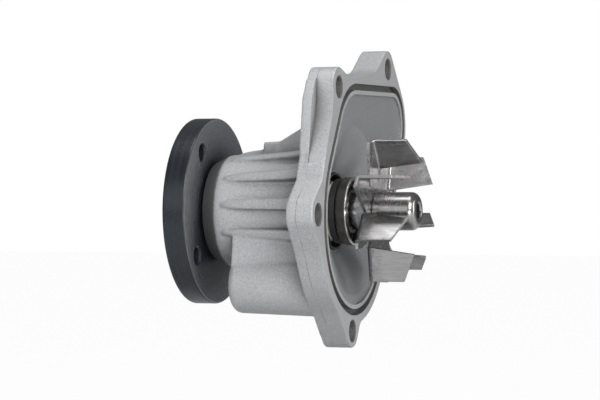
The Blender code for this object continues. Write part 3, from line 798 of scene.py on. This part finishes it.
def soft_seal_pieces():
    """Bellows and spring behind the carbon ring, which on the pump shorten as the ring floats back.
    """
    profile = [(-13.9, 11.2, 0.2), (-13.9, 12.6, 0.4), (-16.6, 12.6, 0.4), (-17.4, 11.9, 0.3),
               (-18.3, 12.6, 0.4), (-20.6, 12.6, 0.4), (-20.6, 10.6, 0.2), (-18.6, 10.6, 0.4),
               (-17.4, 11.0, 0.3), (-16.2, 10.6, 0.3), (-15.4, 11.2, 0.2)]
    bellows = crisp(lathe("seal_bellows_moulded", profile, RUBBER, 96))
    piece(bellows, "housing_body", "black_rubber", "seal_bellows")
    steps = 48 * SPRING_TURNS
    ring = [polar(SPRING_WIRE_R, 30 * k) for k in range(12)]
    sections = []
    for i in range(steps + 1):
        y, z = polar(1.0, 360 * SPRING_TURNS * i / steps)
        x = SPRING_X[0] + (SPRING_X[1] - SPRING_X[0]) * i / steps
        sections.append([(x + along, y * (SPRING_R + out), z * (SPRING_R + out))
                         for along, out in ring])
    coil = crisp(loft("seal_spring_coil", sections, GROUND))
    piece(coil, "housing_body", "ground_steel", "seal_spring")
    for soft in (bellows, coil):
        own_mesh(soft)


def dress_frame_nodes():
    """Procedural finishes for the CAD nodes that are shown as they are."""
    finishes = {"bearing_outer": GROUND, "bearing_seal": RUBBER, "ball_cage": CAGE,
                "ball_": GROUND, "seal_case": SEAL_STEEL, "seal_carbon": CARBON,
                "seal_rotor_boot": RUBBER, "seal_ceramic": CERAMIC}
    for name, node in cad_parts.items():
        for start, finish in finishes.items():
            if name.startswith(start):
                node.data.materials.clear()
                node.data.materials.append(finish)
                break


# ---------------------------------------------------------------- stage

def floor():
    """Matt floor that the camera sees as white, with a painted shadow: dark close to the pump, pale
    further out.
    """
    g = Graph("pale_floor")
    far = g.node("ShaderNodeVectorMath", {0: g.place}, operation="LENGTH").outputs["Value"]
    cloud = g.fit(g.noise(6.0, 2.0), 0.3, 0.7, 0.96, 1.0)
    # Painted shadow: dark around the pump, pale further out.
    shadow_tone = g.math("MULTIPLY", g.fit(far, 0.17, 0.24, 0.3, 0.9), cloud)
    colour = g.node("ShaderNodeCombineColor", {0: shadow_tone, 1: shadow_tone, 2: shadow_tone}).outputs[0]
    paint = g.surface(colour, 0.9, 0.0)
    glow = g.node("ShaderNodeEmission", {"Color": (1.0, 1.0, 1.0, 1.0), "Strength": 1.0})
    seen = g.node("ShaderNodeLightPath", {}).outputs["Is Camera Ray"]
    share = g.math("MULTIPLY", seen, 0.97)
    both = g.node("ShaderNodeMixShader", {0: share, 1: g.shader.outputs[0], 2: glow.outputs[0]})
    g.tree.links.new(both.outputs[0], g.tree.nodes["Material Output"].inputs["Surface"])
    build = bmesh.new()
    bmesh.ops.create_grid(build, x_segments=8, y_segments=8, size=6.0)
    build.transform(Matrix.Translation((0.0, 0.0, FLOOR_Z)))
    object_from("floor", build, paint)


def surroundings():
    """White to the camera; to everything else, dim below and brighter above."""
    world = bpy.data.worlds.new("studio")
    bpy.context.scene.world = world
    world.use_nodes = True
    nodes, links = world.node_tree.nodes, world.node_tree.links
    place = nodes.new("ShaderNodeTexCoord").outputs["Generated"]
    split = nodes.new("ShaderNodeSeparateXYZ")
    links.new(place, split.inputs[0])
    ramp = nodes.new("ShaderNodeValToRGB")
    below, above = ramp.color_ramp.elements
    below.position = 0.3
    below.color = (0.05, 0.05, 0.052, 1.0)
    above.position = 0.95
    above.color = (0.26, 0.26, 0.27, 1.0)
    level = nodes.new("ShaderNodeMapRange")
    level.inputs["From Min"].default_value = -1.0
    links.new(split.outputs[2], level.inputs["Value"])
    links.new(level.outputs[0], ramp.inputs[0])
    backing = nodes["Background"]
    links.new(ramp.outputs[0], backing.inputs["Color"])
    backing.inputs["Strength"].default_value = 1.0
    white = nodes.new("ShaderNodeBackground")
    white.inputs["Color"].default_value = (1.0, 1.0, 1.0, 1.0)
    seen = nodes.new("ShaderNodeLightPath")
    both = nodes.new("ShaderNodeMixShader")
    links.new(seen.outputs["Is Camera Ray"], both.inputs[0])
    links.new(backing.outputs[0], both.inputs[1])
    links.new(white.outputs[0], both.inputs[2])
    links.new(both.outputs[0], nodes["World Output"].inputs["Surface"])


def softbox(name, place, aim, size, power):
    """Area light at a place in metres, turned towards a point on the pump."""
    lamp = bpy.data.lights.new(name, "AREA")
    lamp.shape = "RECTANGLE"
    lamp.size, lamp.size_y = size
    lamp.energy = power
    obj = bpy.data.objects.new(name, lamp)
    obj.location = place
    obj.rotation_euler = (Vector(aim) - Vector(place)).to_track_quat("-Z", "Y").to_euler()
    obj.visible_camera = False
    bpy.context.scene.collection.objects.link(obj)


def camera():
    lens = bpy.data.cameras.new("camera")
    lens.lens = CAMERA_LENS
    lens.sensor_width = 36.0
    lens.clip_start = 0.05
    obj = bpy.data.objects.new("camera", lens)
    obj.location = CAMERA_PLACE
    obj.rotation_euler = (radians(90.0), 0.0, radians(CAMERA_TURN))
    bpy.context.scene.collection.objects.link(obj)
    bpy.context.scene.camera = obj


housing()
pulley_flange()
pump_shaft()
seal_rotor_cup()
soft_seal_pieces()
impeller()
impeller_hub()
dress_frame_nodes()
floor()
surroundings()
for light in LIGHTS:
    softbox(*light)
camera()
bpy.context.scene.view_settings.view_transform = "Standard"
